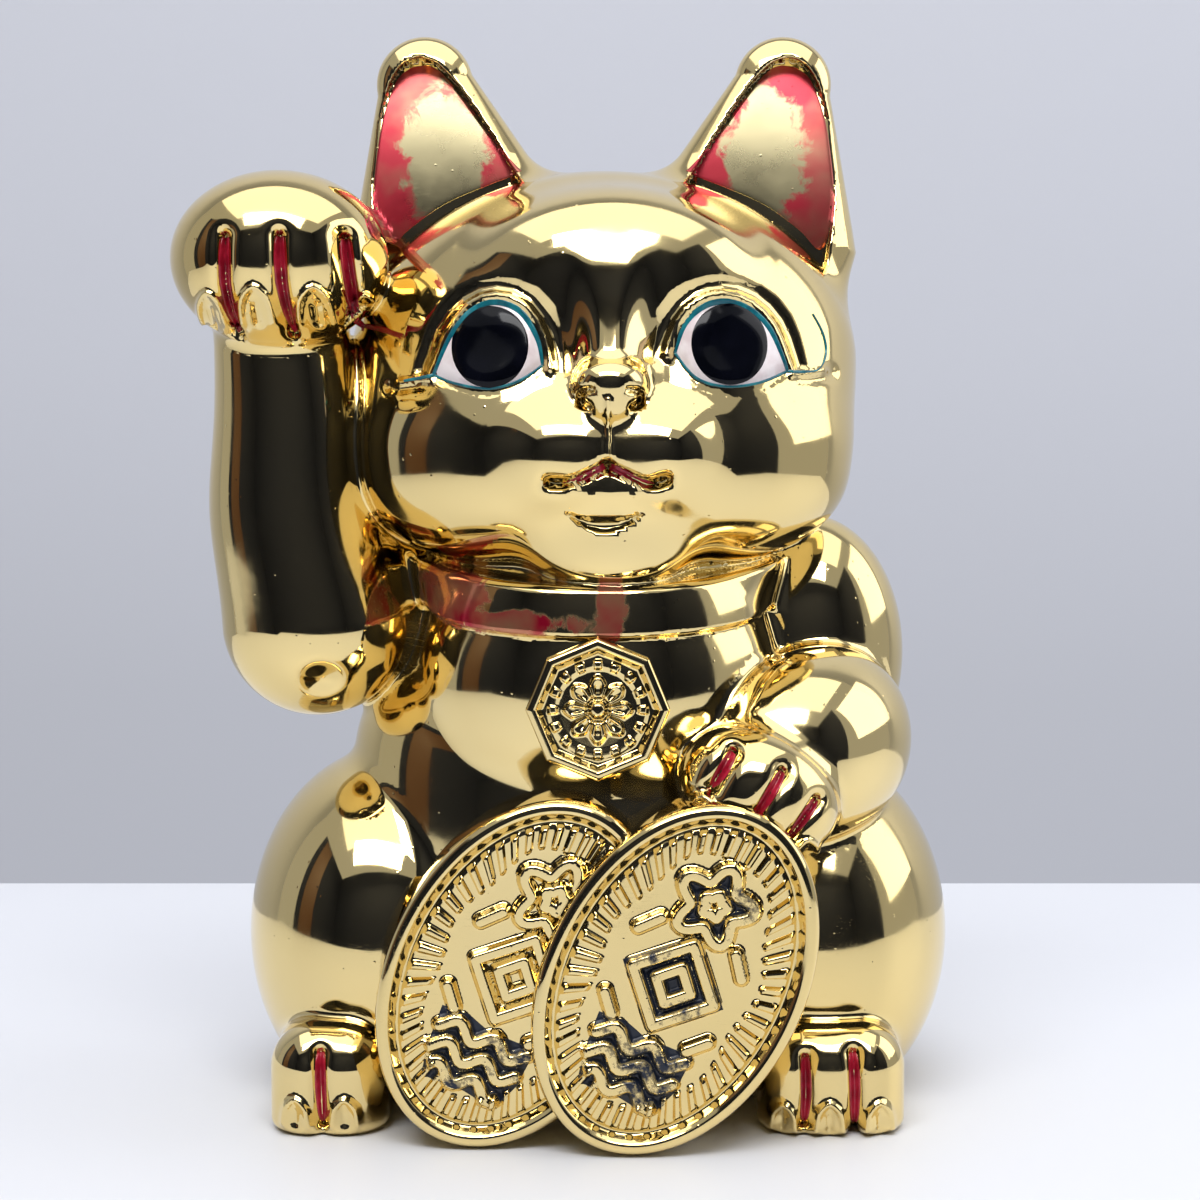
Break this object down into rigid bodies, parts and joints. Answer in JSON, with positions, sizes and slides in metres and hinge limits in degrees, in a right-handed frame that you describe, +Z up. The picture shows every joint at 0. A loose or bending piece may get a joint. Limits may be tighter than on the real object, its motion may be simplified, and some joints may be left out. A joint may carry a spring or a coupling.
{
  "type": "beckoning cat money bank",
  "caption": "Seated beckoning cat money bank: hollow cast ceramic with a mirror-gold finish, one foreleg raised, oval coins at its lap and a pull-out stopper in the base.",
  "frame": {"origin": "on the flat base, on the surface the cat stands on, below the middle of the neck", "axes": "+Z up, the cat faces -Y, +X is to the right of someone looking at its face (the cat's own left)"},
  "size_m": [0.1968, 0.1366, 0.2709],
  "materials": {
    "gold_lustre_clay": "mirror gold metallised lacquer over cast clay, faintly hazed and scratched",
    "collar_clay": "mirror gold with worn transparent red lacquer",
    "white_enamel": "glossy hand-painted enamel",
    "teal_enamel": "glossy hand-painted enamel",
    "black_enamel": "glossy hand-painted enamel",
    "red_enamel": "thin transparent red lacquer over gold",
    "black_ink": "thin worn blue-black ink",
    "stopper_rubber": "soft off-white plastic, matte"
  },
  "bodies": {
    "cat": {"torso_casting": "gold_lustre_clay", "base_slab": "gold_lustre_clay", "head_casting": "gold_lustre_clay", "ear_right": "gold_lustre_clay", "ear_left": "gold_lustre_clay", "tail": "gold_lustre_clay", "collar": "collar_clay", "medallion": "gold_lustre_clay", "raised_foreleg": "gold_lustre_clay", "raised_paw": "gold_lustre_clay", "lowered_foreleg": "gold_lustre_clay", "lowered_paw": "gold_lustre_clay", "hind_paw_right": "gold_lustre_clay", "hind_paw_left": "gold_lustre_clay", "coin_front": "gold_lustre_clay", "coin_rear": "gold_lustre_clay", "eye_white_right": "white_enamel", "eye_white_left": "white_enamel", "eye_liner_right": "teal_enamel", "eye_liner_left": "teal_enamel", "pupil_right": "black_enamel", "pupil_left": "black_enamel", "lip_enamel": "red_enamel", "ear_enamel_right": "red_enamel", "ear_enamel_left": "red_enamel", "claw_enamel_raised": "red_enamel", "claw_enamel_lowered": "red_enamel", "claw_enamel_hind": "red_enamel", "coin_ink_front": "black_ink", "coin_ink_rear": "black_ink"},
    "stopper": {"stopper": "stopper_rubber"}
  },
  "joints": [
    {"name": "stopper_pull", "type": "slide", "parent": "cat", "child": "stopper", "axis": [0, 0, -1], "range_m": [0, 0.03]}
  ]
}
